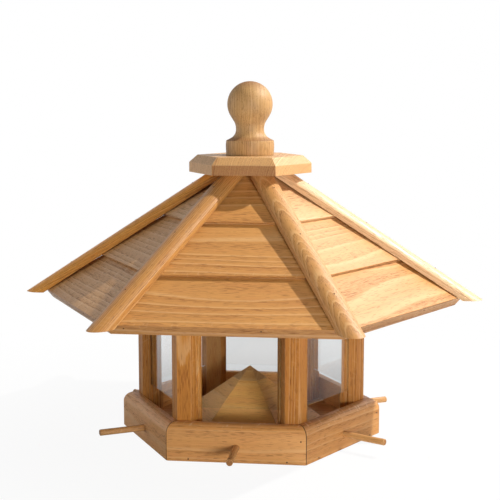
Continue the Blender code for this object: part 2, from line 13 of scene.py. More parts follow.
import bmesh
import bpy
import numpy as np
from mathutils import Matrix, Vector
from mathutils.bvhtree import BVHTree


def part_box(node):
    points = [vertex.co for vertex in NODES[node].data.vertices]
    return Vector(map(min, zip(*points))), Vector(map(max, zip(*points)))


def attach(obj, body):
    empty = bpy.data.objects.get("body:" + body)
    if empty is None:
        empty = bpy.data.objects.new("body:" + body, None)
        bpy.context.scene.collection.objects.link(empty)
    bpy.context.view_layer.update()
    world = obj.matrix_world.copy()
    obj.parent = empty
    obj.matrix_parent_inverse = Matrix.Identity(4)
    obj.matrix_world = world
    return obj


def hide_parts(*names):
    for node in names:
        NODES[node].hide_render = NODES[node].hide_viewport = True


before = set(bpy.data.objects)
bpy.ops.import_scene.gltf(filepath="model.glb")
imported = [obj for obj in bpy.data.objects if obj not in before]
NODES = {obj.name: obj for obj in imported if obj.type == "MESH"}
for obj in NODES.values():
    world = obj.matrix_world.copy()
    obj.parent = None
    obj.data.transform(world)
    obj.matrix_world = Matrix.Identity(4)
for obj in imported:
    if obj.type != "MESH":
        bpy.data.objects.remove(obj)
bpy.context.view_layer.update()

MM = 0.001

# %% [markdown]
# ## Naming the six sides
#
# Every tier repeats six times round the upright axis. The sides are counted anticlockwise from the front,
# and the corners anticlockwise from the right, so a short loop reaches any board by its name.
# For each one the lesson needs two directions: straight out of the feeder, and along the side.

# %% Directions of sides and corners
UP = Vector((0.0, 0.0, 1.0))
LEFT_TO_RIGHT = Vector((1.0, 0.0, 0.0))
FRONT_TO_BACK = Vector((0.0, 1.0, 0.0))
SIDE_NAMES = ["front", "right_front", "right_back", "back", "left_back", "left_front"]
CORNER_NAMES = ["right", "back_right", "back_left", "left", "front_left", "front_right"]
FRONT_BEARING = math.radians(-90.0)
SIXTH = math.radians(60.0)


def outward(bearing):
    """Level direction away from the feeder's axis."""
    return Vector((math.cos(bearing), math.sin(bearing), 0.0))


SIDE_OUT = {name: outward(FRONT_BEARING + i * SIXTH) for i, name in enumerate(SIDE_NAMES)}
CORNER_OUT = {name: outward(i * SIXTH) for i, name in enumerate(CORNER_NAMES)}
print("sides:", ", ".join(SIDE_NAMES))

# %% [markdown]
# ## Objects, plain meshes and marks
#
# Every finished piece is a plain mesh in an object at the origin, as the frame's own pieces are. Four small
# helpers put an object in the scene, work its modifiers into a plain mesh, store numbers on a mesh, and read
# a mesh's numbers into a table. Stored numbers are called attributes, and the finish reads them later.

# %% Helpers for objects and meshes


def new_object(name, data):
    """Object in the scene, at the origin."""
    made = bpy.data.objects.new(name, data)
    bpy.context.scene.collection.objects.link(made)
    return made


def plain_mesh(thing):
    """Mesh of an object with its modifiers worked in."""
    bpy.context.view_layer.update()
    graph = bpy.context.evaluated_depsgraph_get()
    return bpy.data.meshes.new_from_object(thing.evaluated_get(graph), preserve_all_data_layers=True,
                                           depsgraph=graph)


def store(mesh, name, values, domain="POINT", kind="FLOAT"):
    """Store a number or a vector for each point or corner of a mesh."""
    key = "vector" if kind == "FLOAT_VECTOR" else "value"
    mesh.attributes.new(name, kind, domain).data.foreach_set(key, values)


def field_table(items, field, width, kind=np.float32):
    """Array of a field of all the items, with a row for each."""
    flat = np.empty(len(items) * width, kind)
    items.foreach_get(field, flat)
    return flat.reshape(-1, width)


# %% [markdown]
# ## Easing the edges
#
# A joiner never leaves a knife edge: each board gets a pass of sandpaper that rounds its arrises by about
# half a millimetre. Those slivers catch the light and separate one board from the next.
# The frame's meshes are loose triangles, so a copy is welded, its flat faces are made whole again, and a
# Bevel of two steps runs along its sharp edges. The middle row of each bevel is marked in the attribute
# "arris", which the finish reads to make the edges a little lighter, partly as rubbed wear and partly as a
# painted highlight. Normals weighted by area keep the broad faces flat, so that all the rounding shows in
# the bevels.

# %% Copy a piece and ease its edges
WELD = 0.002 * MM
FLAT_ANGLE = math.radians(0.6)
CRISP_ANGLE = math.radians(32.0)
EASE = 0.6 * MM
STICK_EASE = 0.5 * MM
THIN_EASE = 0.3 * MM


def welded_copy(node):
    """Editable copy of a node's mesh, with its loose triangles joined."""
    shape = bmesh.new()
    shape.from_mesh(NODES[node].data)
    bmesh.ops.remove_doubles(shape, verts=shape.verts, dist=WELD)
    return shape


def ease_edges(shape, width, leave=None):
    """Round the crisp edges. Leaves out edges whose middle passes the test. Returns the rounded faces."""
    crisp = []
    for edge in shape.edges:
        if edge.is_manifold and edge.calc_face_angle(0.0) > CRISP_ANGLE:
            middle = (edge.verts[0].co + edge.verts[1].co) / 2.0
            if leave is None or not leave(middle):
                crisp.append(edge)
    made = bmesh.ops.bevel(shape, geom=crisp, offset=width, segments=2, profile=0.5,
                           affect="EDGES", clamp_overlap=True)
    return set(made["faces"])


def as_piece(name, shape, rounded=()):
    """Object made from the edited mesh, smooth except at its crisp edges."""
    shape.verts.ensure_lookup_table()
    # Points on the middle rows of the bevels, lightened by the finish: partly rubbed wear, partly a painted
    # highlight.
    rubbed_and_highlit = [float(bool(v.link_faces) and all(f in rounded for f in v.link_faces)) for v in shape.verts]
    mesh = bpy.data.meshes.new(name)
    shape.to_mesh(mesh)
    shape.free()
    store(mesh, "arris", rubbed_and_highlit)
    mesh.shade_smooth()
    mesh.set_sharp_from_angle(angle=CRISP_ANGLE)
    piece = new_object(name, mesh)
    piece.modifiers.new("flat_faces", "WEIGHTED_NORMAL").keep_sharp = True
    flattened = plain_mesh(piece)
    piece.modifiers.clear()
    piece.data = flattened
    return piece


print(f"edges are eased by {THIN_EASE / MM:.1f} to {EASE / MM:.1f} mm")

# %% [markdown]
# ## Which way the log lay
#
# Wood looks real when its grain agrees with how the board was sawn. So each piece carries the attribute
# "timber": the place of every point inside an imagined log, with x along the trunk and y, z across it from
# the pith. A flat-sawn board has the pith behind its face and shows tall arches; a rift-sawn one has it off
# to the side and shows straight lines, as the roof boards on the left do. One material then serves every
# board, and end grain, edges and faces all meet properly. Three more attributes say how squarely a face
# cuts across the fibres ("end_grain"), how nearly it is cut along the rays, as on a quarter-sawn face
# ("quarter"), and whether it is a board's narrow edge ("sawn_edge"). The rest darken the glued joints, and
# as painted shade the batten keels in their notches, and shift a whole piece's colour. One shift is darker
# below 0 and paler above it, partly because no two boards in a pile are the same and partly as painted
# light and shade on single pieces. The other makes the left batten yellower, as painted warm light.

# %% Give a piece its place in a log
LOG_SPREAD = 40.0
FLAT_SAWN = 35.0
PITH_DEPTHS = (70.0 * MM, 150.0 * MM)
# Darker or paler pieces: partly the wood's own tone, partly painted light and shade. The pale right batten
# is a painted highlight, and the darker right rim, front left batten and posts are painted shade.
TONE_LIGHT_AND_SHADE = {
    "hip_batten_right": 0.75, "hip_batten_front_right": 0.10, "hip_batten_front_left": -0.25,
    "lower_roof_board_left_front": 0.15, "middle_roof_board_left_front": 0.20,
    "upper_roof_board_left_front": 0.50, "middle_roof_board_right_front": 0.20,
    "upper_roof_board_right_front": 0.40, "rim_board_left_front": 0.10, "rim_board_right_front": -0.45,
    "post_front_right": -0.30, "post_right": -0.40, "post_left": -0.35, "post_back_left": -0.70,
    "post_back_right": -0.30, "cap_plate": 0.08}
# Painted warm light: the left batten is made golden, as warm light from the front falls on its flank.
PAINTED_GOLD_LIGHT = {"hip_batten_left": 0.90}
RIFT_SAWN = {
    "lower_roof_board_left_front": 64.0, "middle_roof_board_left_front": 58.0,
    "upper_roof_board_left_front": 60.0}
timber_yard = random.Random(7)


def face_direction(piece, hint):
    """Normal of the largest flat face, turned to the side of the hint."""
    best = max(piece.data.polygons, key=lambda face: face.area)
    normal = best.normal.copy()
    return normal if normal.dot(hint) >= 0.0 else -normal


def log_turn(grain, face, slope):
    """Rows along the trunk, across the board and out of its face, leaned over by the slope of the grain."""
    face = (face - grain * face.dot(grain) / grain.length_squared).normalized()
    across = face.cross(grain).normalized()
    lean = Matrix.Rotation(math.radians(slope), 3, across)
    return np.array([lean @ grain.normalized(), across, lean @ face], np.float32)


def lay_in_log(piece, grain, face, sawn=None, pith=None, slope=0.0):
    """Write the timber attributes. sawn is 0 for flat-sawn and 90 for quarter-sawn, and slope is how far
    the fibres run out through the face, both in degrees."""
    mesh, stem = piece.data, piece.name.removeprefix("oak_")
    turn = log_turn(grain, face, slope)
    sawn = timber_yard.uniform(-FLAT_SAWN, FLAT_SAWN) if sawn is None else sawn
    sawn = math.radians(RIFT_SAWN.get(stem, sawn))
    pith = timber_yard.uniform(*PITH_DEPTHS) if pith is None else pith
    start = timber_yard.uniform(-LOG_SPREAD, LOG_SPREAD)
    points = field_table(mesh.vertices, "co", 3)
    centre = (points.min(0) + points.max(0)) / 2.0
    pith_place = np.array([start, pith * math.sin(sawn), pith * math.cos(sawn)], np.float32)
    place = (points - centre) @ turn.T + pith_place
    store(mesh, "timber", place.ravel(), kind="FLOAT_VECTOR")

    normals = field_table(mesh.corner_normals, "vector", 3) @ turn.T
    spoke = place[field_table(mesh.loops, "vertex_index", 1, np.int32)[:, 0], 1:]
    spoke = spoke / np.linalg.norm(spoke, axis=1, keepdims=True)
    quarter = np.abs(normals[:, 1] * spoke[:, 1] - normals[:, 2] * spoke[:, 0])
    cuts = {"end_grain": np.abs(normals[:, 0]), "quarter": quarter, "sawn_edge": np.abs(normals[:, 1])}
    for name, values in cuts.items():
        store(mesh, name, values.astype(np.float32), "CORNER")
    # Store each piece's colour shifts, which are partly painted light and shade.
    for name, shifts in (("tone", TONE_LIGHT_AND_SHADE), ("gold", PAINTED_GOLD_LIGHT)):
        store(mesh, name, [shifts.get(stem, 0.0)] * len(mesh.vertices))


def mark_joint_and_shade(piece, depth):
    """Write how deep each point lies in a mark that the finish darkens, from a depth for its place: 1 in it,
    0 off it. The marks are glued joints and, as painted shade, the keels in their notches.
    """
    store(piece.data, "seam", [min(max(depth(vertex.co), 0.0), 1.0) for vertex in piece.data.vertices])


print("pieces with a colour of their own:", len(TONE_LIGHT_AND_SHADE | PAINTED_GOLD_LIGHT))

# %% [markdown]
# ## Small helpers for node trees
#
# The finish is built from many small sums on numbers and directions. These helpers add one node, wire what
# is given to its inputs, and hand back the output, so that the recipe below reads like arithmetic.

# %% Node helpers


def wire(tree, node, inputs):
    """Give a node its inputs: a socket is wired in, and a number or a colour is set."""
    for key, value in inputs.items():
        if isinstance(value, bpy.types.NodeSocket):
            tree.links.new(value, node.inputs[key])
        else:
            node.inputs[key].default_value = value


def add(tree, kind, inputs=None, **settings):
    """Add a node with its settings and inputs."""
    made = tree.nodes.new(kind)
    for name, value in settings.items():
        setattr(made, name, value)
    wire(tree, made, inputs or {})
    return made


def calc(tree, operation, *values, clamp=False):
    """Number from a Math node."""
    inputs = dict(enumerate(values))
    return add(tree, "ShaderNodeMath", inputs, operation=operation, use_clamp=clamp).outputs[0]


def smooth_step(tree, value, low, high):
    """0 below low, 1 above high, and smooth between. With low above high it runs the other way."""
    inputs = {"Value": value, "From Min": low, "From Max": high}
    made = add(tree, "ShaderNodeMapRange", inputs, interpolation_type="SMOOTHSTEP")
    return made.outputs["Result"]


def blend_colours(tree, factor, first, second, how="MIX"):
    """Colour between two colours."""
    made = add(tree, "ShaderNodeMix", {0: factor, 6: first, 7: second}, data_type="RGBA", blend_type=how)
    return made.outputs[2]


def noise(tree, place, scale=1.0, detail=0.0):
    """Noise from 0 to 1 at a place."""
    inputs = {"Vector": place, "Scale": scale, "Detail": detail}
    return add(tree, "ShaderNodeTexNoise", inputs).outputs["Fac"]


def cloud(tree, place, size, detail=2.0):
    """Noise from -1 to 1 with features of a size in millimetres along and across the grain."""
    along, across = size
    scale = (1.0 / along, 1.0 / across, 1.0 / across)
    scaled = add(tree, "ShaderNodeVectorMath", {0: place, 1: scale}, operation="MULTIPLY").outputs[0]
    return calc(tree, "MULTIPLY_ADD", noise(tree, scaled, detail=detail), 2.0, -1.0)


def new_group(name, inputs, outputs, family="Shader"):
    """Empty group with named sockets. Returns the tree, what is given to it and the node for its results."""
    tree = bpy.data.node_groups.new(name, f"{family}NodeTree")
    for label, kind, value in inputs:
        socket = tree.interface.new_socket(label, in_out="INPUT", socket_type=f"NodeSocket{kind}")
        if value is not None:
            socket.default_value = value
    for label, kind in outputs:
        tree.interface.new_socket(label, in_out="OUTPUT", socket_type=f"NodeSocket{kind}")
    return tree, tree.nodes.new("NodeGroupInput").outputs, tree.nodes.new("NodeGroupOutput")


def new_material(name):
    """Material with a node tree. Returns it, the tree and its Principled shader."""
    material = bpy.data.materials.new(name)
    material.use_nodes = True
    return material, material.node_tree, material.node_tree.nodes["Principled BSDF"]


print("materials so far:", len(bpy.data.materials))

# %% [markdown]
# ## The figure of oak
#
# Oak is ring-porous. Each year starts with a band of wide pores, dark and a little rough, and ends in dense
# pale wood. A tree is never a true cylinder, so three sizes of cloudy noise bend the rings before they are
# counted: the largest makes the arches, the middle one the waver, the smallest the frayed edge of a line.
# Everything is measured in the log, in millimetres.

# %% Rings of early and late wood
ARCHES, WAVER, FRAY = (380.0, 120.0), (90.0, 26.0), (22.0, 1.8)
WAVER_DEPTH, FRAY_DEPTH = 0.9, 0.22
UNEVEN_YEARS = 1.5


def count_rings(tree, place, radius, wander, width):
    """Number of the ring at each place, from the bent radius. Some years are wider than others."""
    bent = calc(tree, "MULTIPLY_ADD", cloud(tree, place, ARCHES, 1.0), wander, radius)
    bent = calc(tree, "MULTIPLY_ADD", cloud(tree, place, WAVER, 1.0), WAVER_DEPTH, bent)
    bent = calc(tree, "MULTIPLY_ADD", cloud(tree, place, FRAY, 2.0), FRAY_DEPTH, bent)
    count = calc(tree, "DIVIDE", bent, width)
    wave = {"W": count, "Scale": 0.45, "Detail": 0.0}
    uneven = add(tree, "ShaderNodeTexNoise", wave, noise_dimensions="1D").outputs["Fac"]
    return calc(tree, "MULTIPLY_ADD", uneven, UNEVEN_YEARS, count)


def ring_bands(tree, count):
    """Bands of early wood, the same with each year's own strength, and bands of late wood."""
    age = calc(tree, "FRACT", count)
    year = add(tree, "ShaderNodeTexWhiteNoise", {"W": calc(tree, "FLOOR", count)}, noise_dimensions="1D")
    year = year.outputs["Value"]
    fading = calc(tree, "SUBTRACT", 1.0, smooth_step(tree, age, 0.10, 0.60))
    early = calc(tree, "MULTIPLY", smooth_step(tree, age, 0.0, 0.05), fading)
    strength = calc(tree, "MULTIPLY_ADD", calc(tree, "MULTIPLY", year, year), 0.85, 0.15)
    late = calc(tree, "MULTIPLY", smooth_step(tree, age, 0.72, 0.92), smooth_step(tree, age, 1.0, 0.97))
    return early, calc(tree, "MULTIPLY", early, strength), late


print("arches are about", ARCHES[0], "mm long and", ARCHES[1], "mm wide")

# %% [markdown]
# ## Pores, fibres and rays
#
# The pores are short dark dashes along the grain, and most of them lie in the early wood. Fibres are finer
# and broader streaks, and over them lie slow changes of shade and a slight blush. Across the rings run rays,
# thin plates that show as bright flecks where a board is cut nearly along them. All of it goes into one
# group, which the fourteen woods share.

# %% Group: oak figure
PORE, FINE_FIBRE, BROAD_FIBRE = (11.0, 0.55), (60.0, 0.9), (300.0, 5.0)
SHADE, BLUSH = (240.0, 70.0), (70.0, 9.0)
BLUSH_SHIFT = (400.0, 90.0, 150.0)
RAY_LENGTH, RAY_HEIGHT, RAY_WIDTH = 17.0, 2.6, 5.0
RAY_LEAN = 0.45
RAY_TURNS = 100.0


def rays(tree, x, y, z, radius, quarter):
    """Thin plates that run out from the pith, shown where a face is cut nearly along them."""
    angle = calc(tree, "MULTIPLY", calc(tree, "ARCTAN2", z, y), RAY_TURNS)
    slanted = calc(tree, "MULTIPLY_ADD", radius, RAY_LEAN, x)
    spoke = add(tree, "ShaderNodeCombineXYZ", {0: calc(tree, "DIVIDE", slanted, RAY_HEIGHT),
                                               1: calc(tree, "DIVIDE", radius, RAY_LENGTH),
                                               2: calc(tree, "DIVIDE", angle, RAY_WIDTH)}).outputs[0]
    return calc(tree, "MULTIPLY", smooth_step(tree, noise(tree, spoke), 0.66, 0.76),
                smooth_step(tree, quarter, 0.55, 0.9))


def make_oak_figure():
    """Rings, pores, fibres and rays from a place in the log."""
    tree, given, result = new_group(
        "oak_figure",
        [("Timber", "Vector", None), ("Quarter", "Float", 0.0), ("Ring Width", "Float", 5.0),
         ("Wander", "Float", 7.0)],
        [(label, "Float") for label in ("Ring", "Late", "Pore", "Fibre", "Shade", "Blush", "Ray")])
    in_mm = {0: given["Timber"], "Scale": 1.0 / MM}
    place = add(tree, "ShaderNodeVectorMath", in_mm, operation="SCALE").outputs[0]
    x, y, z = add(tree, "ShaderNodeSeparateXYZ", {0: place}).outputs
    radius = calc(tree, "MULTIPLY_ADD", y, y, calc(tree, "MULTIPLY", z, z))
    radius = calc(tree, "SQRT", radius)
    count = count_rings(tree, place, radius, given["Wander"], given["Ring Width"])
    early, ring, late = ring_bands(tree, count)
    sparse = calc(tree, "MULTIPLY_ADD", early, -0.26, 0.34)
    dashes = calc(tree, "SUBTRACT", cloud(tree, place, PORE, 0.0), sparse)
    aside = add(tree, "ShaderNodeVectorMath", {0: place, 1: BLUSH_SHIFT}, operation="ADD").outputs[0]
    wire(tree, result, {
        "Ring": ring, "Late": late, "Pore": smooth_step(tree, dashes, 0.0, 0.16),
        "Fibre": calc(tree, "MULTIPLY_ADD", cloud(tree, place, BROAD_FIBRE, 3.0), 0.9,
                      cloud(tree, place, FINE_FIBRE)),
        "Shade": cloud(tree, place, SHADE),
        "Blush": smooth_step(tree, cloud(tree, aside, BLUSH, 3.0), 0.0, 0.5),
        "Ray": rays(tree, x, y, z, radius, given["Quarter"])})
    return tree


oak_figure = make_oak_figure()
print("group oak_figure:", len(oak_figure.nodes), "nodes")

# %% [markdown]
# ## The finish
#
# The boards are oiled, not varnished: the colour is warm, the pores stay open and the gloss is low.
# This group lays the masks over a colour between the wood's pale and its deep one, from the broadest effect
# to the finest: a MULTIPLY layer darkens or stains what is under it, and a MIX layer goes over it. End grain
# drinks more oil, so it goes darker and duller. Edges go lighter, partly as rubbed wear and partly as a
# painted highlight. Some layers are painted light and shade: a whole piece made paler or darker, the left
# batten made golden, and the batten keels darkened in their notches. Only a colour, a roughness and a
# height leave the group. The shader itself stays in each material.

# %% Group: oiled finish
# Tints of the layers. The pale and dark tone tints are partly painted highlight and shade, the gold tint is
# painted warm light, the rubbed tint is partly a painted highlight, and the joint tint also paints shade
# under the battens.
BLUSH_STAIN, LATE_WOOD, PALE_TONE_AND_HIGHLIGHT = (0.92, 0.74, 0.80), (0.84, 0.58, 0.30), (0.95, 0.72, 0.45)
DARK_TONE_AND_SHADE, GOLD_LIGHT_TINT, RAY_FLECK = (0.58, 0.52, 0.45), (1.50, 1.35, 0.75), (0.86, 0.62, 0.36)
OPEN_PORE, OILED_END, COOL_EDGE = (0.38, 0.26, 0.18), (0.64, 0.53, 0.42), (0.72, 0.74, 0.92)
RUBBED_AND_HIGHLIGHT, JOINT_AND_SHADE_TINT = (0.82, 0.58, 0.33), (0.16, 0.11, 0.08)
SETTINGS = {"Contrast": 0.5, "Streak": 0.2, "Pores": 0.4, "Flecks": 0.5, "Edges": 0.0, "Dullness": 0.45}
MASKS = ("Ring", "Late", "Pore", "Fibre", "Shade", "Blush", "Ray", "End Grain", "Sawn Edge", "Arris", "Seam",
         "Tone", "Gold")


def colour_layers(tree, given, fleck, pore, end):
    """Share, tint and way of each layer over the plain wood, from the lowest to the highest."""
    lines = calc(tree, "MULTIPLY", given["Late"], given["Contrast"])
    sawn = smooth_step(tree, given["Sawn Edge"], 0.5, 0.9)
    return (
        (calc(tree, "MULTIPLY", given["Blush"], 0.32), BLUSH_STAIN, "MULTIPLY"),
        (calc(tree, "MULTIPLY", lines, 0.85), LATE_WOOD, "MIX"),
        # tone: a piece made paler or darker, partly its own tone and partly painted highlight and shade
        (calc(tree, "MULTIPLY", calc(tree, "MAXIMUM", given["Tone"], 0.0), 0.6), PALE_TONE_AND_HIGHLIGHT, "MIX"),
        (calc(tree, "MULTIPLY", calc(tree, "MINIMUM", given["Tone"], 0.0), -1.0), DARK_TONE_AND_SHADE, "MULTIPLY"),
        # painted light: the gold share warms and brightens the left batten
        (given["Gold"], GOLD_LIGHT_TINT, "MULTIPLY"),
        (calc(tree, "MULTIPLY", fleck, 0.5), RAY_FLECK, "MIX"),
        (pore, OPEN_PORE, "MULTIPLY"),
        (end, OILED_END, "MULTIPLY"),
        (calc(tree, "MULTIPLY", sawn, given["Edges"]), COOL_EDGE, "MULTIPLY"),
        # edges made lighter: partly rubbed wear, partly a painted highlight
        (calc(tree, "MULTIPLY", given["Arris"], 0.30), RUBBED_AND_HIGHLIGHT, "MIX"),
        # dark glued joints, and painted shade on the batten keels in their notches
        (given["Seam"], JOINT_AND_SHADE_TINT, "MULTIPLY"))


def make_oiled_finish():
    """Colour, roughness and height of oiled oak from the figure's masks."""
    tree, given, result = new_group(
        "oiled_finish",
        [("Pale", "Color", (0.70, 0.41, 0.17, 1.0)), ("Deep", "Color", (0.45, 0.20, 0.06, 1.0)),
         *((label, "Float", value) for label, value in SETTINGS.items()),
         *((label, "Float", 0.0) for label in MASKS)],
        [("Color", "Color"), ("Roughness", "Float"), ("Height", "Float")])
    depth = calc(tree, "MULTIPLY_ADD", given["Ring"], given["Contrast"], 0.28)
    depth = calc(tree, "MULTIPLY_ADD", given["Fibre"], given["Streak"], depth)
    depth = calc(tree, "MULTIPLY_ADD", given["Shade"], 0.22, depth, clamp=True)
    colour = blend_colours(tree, depth, given["Pale"], given["Deep"])
    fleck = calc(tree, "MULTIPLY", given["Ray"], given["Flecks"])
    pore = calc(tree, "MULTIPLY", given["Pore"], given["Pores"])
    end = smooth_step(tree, given["End Grain"], 0.60, 1.0)
    for share, tint, how in colour_layers(tree, given, fleck, pore, end):
        colour = blend_colours(tree, share, colour, (*tint, 1.0), how)
    rough = given["Dullness"]
    for share, amount in ((given["Ring"], 0.10), (given["Pore"], 0.18), (end, 0.12), (fleck, -0.10)):
        rough = calc(tree, "MULTIPLY_ADD", share, amount, rough)
    height = calc(tree, "MULTIPLY", given["Pore"], -0.8)
    for share, amount in ((given["Fibre"], 0.12), (given["Ring"], -0.25)):
        height = calc(tree, "MULTIPLY_ADD", share, amount, height)
    wire(tree, result, {"Color": colour, "Roughness": rough, "Height": height})
    return tree


oiled_finish = make_oiled_finish()
print("group oiled_finish:", len(oiled_finish.nodes), "nodes")

# %% [markdown]
# ## One recipe, fourteen woods
#
# The pieces came out of different logs: the posts are redder and tighter in grain, and the roof boards pale
# and wide. The boards inside the silo are paler and yellower, partly as painted light that makes up for the
# silo's shade. Each of the record's wooden slots gets its own material, and all use the same two groups with
# other numbers.

# %% Oak materials
STORED = ("timber", "quarter", "end_grain", "sawn_edge", "arris", "seam", "tone", "gold")
GRAIN_DEPTH = 0.15 * MM
AMBER, RUSSET = (0.60, 0.26, 0.05), (0.31, 0.10, 0.014)
ROOF_BOARD = dict(pale=(0.66, 0.33, 0.096), deep=(0.44, 0.168, 0.035), contrast=0.32, streak=0.28, pores=0.6,
                  edges=0.5)
RECIPES = {
    "floor_oak": dict(pale=(0.60, 0.31, 0.10), deep=(0.32, 0.13, 0.035), dullness=0.6),
    "rim_oak": dict(pale=(0.78, 0.40, 0.13), deep=(0.52, 0.21, 0.05), ring_width=4.5, contrast=0.32,
                    streak=0.28, pores=0.6, flecks=0.9),
    "perch_wood": dict(pale=(0.66, 0.37, 0.14), deep=(0.42, 0.19, 0.055), ring_width=2.2),
    "post_oak": dict(pale=AMBER, deep=RUSSET, ring_width=3.2, streak=0.26, pores=0.65, contrast=0.35,
                     flecks=0.15, gloss=0.2),
    "ring_oak": dict(pale=AMBER, deep=RUSSET),
    # paler and yellower, partly painted light for the shade inside the silo
    "pyramid_wood": dict(pale=(0.95, 0.54, 0.16), deep=(0.72, 0.34, 0.08), ring_width=8.0, contrast=0.2),
    "apex_wood": dict(pale=(0.66, 0.38, 0.13), deep=(0.48, 0.23, 0.07)),
    "lower_board_oak": ROOF_BOARD | dict(ring_width=9.0, wander=12.0, edges=0.8),
    "middle_board_oak": ROOF_BOARD | dict(ring_width=8.0, wander=10.0),
    "upper_board_oak": ROOF_BOARD | dict(ring_width=9.0, wander=10.0),
    "batten_oak": dict(pale=(0.63, 0.31, 0.085), deep=(0.38, 0.145, 0.030), ring_width=2.4, wander=1.2,
                       contrast=0.36, pores=0.5, dullness=0.42, flecks=0.12),
    "cap_oak": dict(pale=(0.70, 0.39, 0.145), deep=(0.44, 0.20, 0.06), ring_width=1.7, wander=3.0,
                    contrast=0.55, pores=0.6),
    "locator_oak": dict(pale=(0.58, 0.31, 0.10), deep=(0.36, 0.16, 0.04)),
    "finial_oak": dict(pale=(0.55, 0.32, 0.12), deep=(0.33, 0.155, 0.047), ring_width=2.6, wander=3.0,
                       contrast=0.34, streak=0.30, pores=0.55, dullness=0.54, flecks=0.1),
}


def oak(name, pale, deep, ring_width=5.0, wander=7.0, contrast=0.25, streak=0.20, pores=0.45, flecks=0.5,
        edges=0.0, dullness=0.45, gloss=0.5):
    """Oiled oak with its own colours and ring width, in millimetres."""
    material, tree, shader = new_material(name)
    marks = {label: add(tree, "ShaderNodeAttribute", attribute_name=label).outputs for label in STORED}
    taken = {"Timber": marks["timber"]["Vector"], "Quarter": marks["quarter"]["Fac"],
             "Ring Width": ring_width, "Wander": wander}
    figure = add(tree, "ShaderNodeGroup", taken, node_tree=oak_figure)
    taken = {"Pale": (*pale, 1.0), "Deep": (*deep, 1.0), "Contrast": contrast, "Streak": streak,
             "Pores": pores, "Flecks": flecks, "Edges": edges, "Dullness": dullness}
    taken |= {mask.name: mask for mask in figure.outputs}
    taken |= {label.replace("_", " ").title(): marks[label]["Fac"] for label in STORED[2:]}
    coat = add(tree, "ShaderNodeGroup", taken, node_tree=oiled_finish)
    grain = {"Strength": 0.5, "Distance": GRAIN_DEPTH, "Height": coat.outputs["Height"]}
    bump = add(tree, "ShaderNodeBump", grain)
    wire(tree, shader, {"Base Color": coat.outputs["Color"], "Roughness": coat.outputs["Roughness"],
                        "Normal": bump.outputs["Normal"], "Specular IOR Level": gloss})
    return material


finish = {name: oak(name, **recipe) for name, recipe in RECIPES.items()}
print("wood finishes:", len(finish))

# %% Dress a piece


def enter(piece, node, slot, body):
    """Paint a finished piece, hang it on its body and hide the frame's node that it stands for."""
    piece.data.materials.clear()
    piece.data.materials.append(finish[slot])
    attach(piece, body)
    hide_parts(node)
    return piece


def dress(node, slot, body, grain, hint, ease=EASE, leave=None, sawn=None, pith=None, slope=0.0):
    """Planed and eased copy of a node in oiled oak."""
    shape = welded_copy(node)
    bmesh.ops.dissolve_limit(shape, angle_limit=FLAT_ANGLE, verts=shape.verts, edges=shape.edges)
    rounded = ease_edges(shape, ease, leave)
    piece = as_piece(f"oak_{node}", shape, rounded)
    lay_in_log(piece, grain, face_direction(piece, hint), sawn, pith, slope)
    return enter(piece, node, slot, body)


# %% [markdown]
# ## The tray
#
# Six boards with a broad rounded top edge are nailed round a hexagonal floor. Their grain runs along each
# side and meets at the mitres. The perch holes stay crisp, because the dowels are driven in tight.

# %% Tray boards, floor and perches
PERCH_CLEAR = 8.0 * MM
SEAM_WIDTH = 0.8 * MM


def dress_tray():
    """Rim boards, floor board and perches."""
    for name, out in SIDE_OUT.items():
        along = UP.cross(out)
        low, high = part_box(f"perch_{name}")
        perch_middle = (low + high) / 2.0

        def near_perch(point):
            away = point - perch_middle
            return (away - out * away.dot(out)).length < PERCH_CLEAR

        def in_mitre(point):
            from_plane = point.dot(out) * math.tan(SIXTH / 2.0) - abs(point.dot(along))
            return (SEAM_WIDTH - from_plane) / SEAM_WIDTH * 2.0

        board = dress(f"rim_board_{name}", "rim_oak", "base", along, out, leave=near_perch)
        mark_joint_and_shade(board, in_mitre)
        dress(f"perch_{name}", "perch_wood", "base", out, UP, ease=THIN_EASE)
    dress("floor_board", "floor_oak", "base", LEFT_TO_RIGHT, UP)


dress_tray()
print("tray: 6 rim boards, 6 perches, 1 floor board")

# %% [markdown]
# ## The silo
#
# The posts are sticks with upright grain, grooved on both flanks. Round their heads runs a ring that
# carries the roof, and on the floor six thin boards lean together and spread the seed to the gaps.

# %% Posts, head ring and pyramid


def dress_silo():
    """Posts, head ring, pyramid boards and their point."""
    for name, out in CORNER_OUT.items():
        dress(f"post_{name}", "post_oak", "base", UP, out, ease=STICK_EASE)
    for name, out in SIDE_OUT.items():
        dress(f"pyramid_board_{name}", "pyramid_wood", "base", UP.cross(out), UP + out, ease=THIN_EASE)
    dress("pyramid_point", "apex_wood", "base", LEFT_TO_RIGHT, UP, ease=THIN_EASE)
    dress("head_ring", "ring_oak", "base", LEFT_TO_RIGHT, UP)


dress_silo()
print("silo: 6 posts, 6 pyramid boards, a point and the head ring")

# %% [markdown]
# ## The roof boards
#
# Three lapped boards cover each side of the roof. Their grain runs level, along the eave. Their mitres stay
# crisp, so that the boards of two sides meet tightly under the batten.

# %% Roof boards
TIERS = ("lower", "middle", "upper")
MITRE_REACH = 1.0 * MM


def dress_boards():
    """Lower, middle and upper boards of the six sides."""
    for name, out in SIDE_OUT.items():
        along = UP.cross(out)

        def on_mitre(point):
            return abs(abs(point.dot(along)) - point.dot(out) * math.tan(SIXTH / 2.0)) < MITRE_REACH

        for tier in TIERS:
            dress(f"{tier}_roof_board_{name}", f"{tier}_board_oak", "roof", along, UP, leave=on_mitre)


dress_boards()
print("roof boards:", len(TIERS) * len(SIDE_OUT))

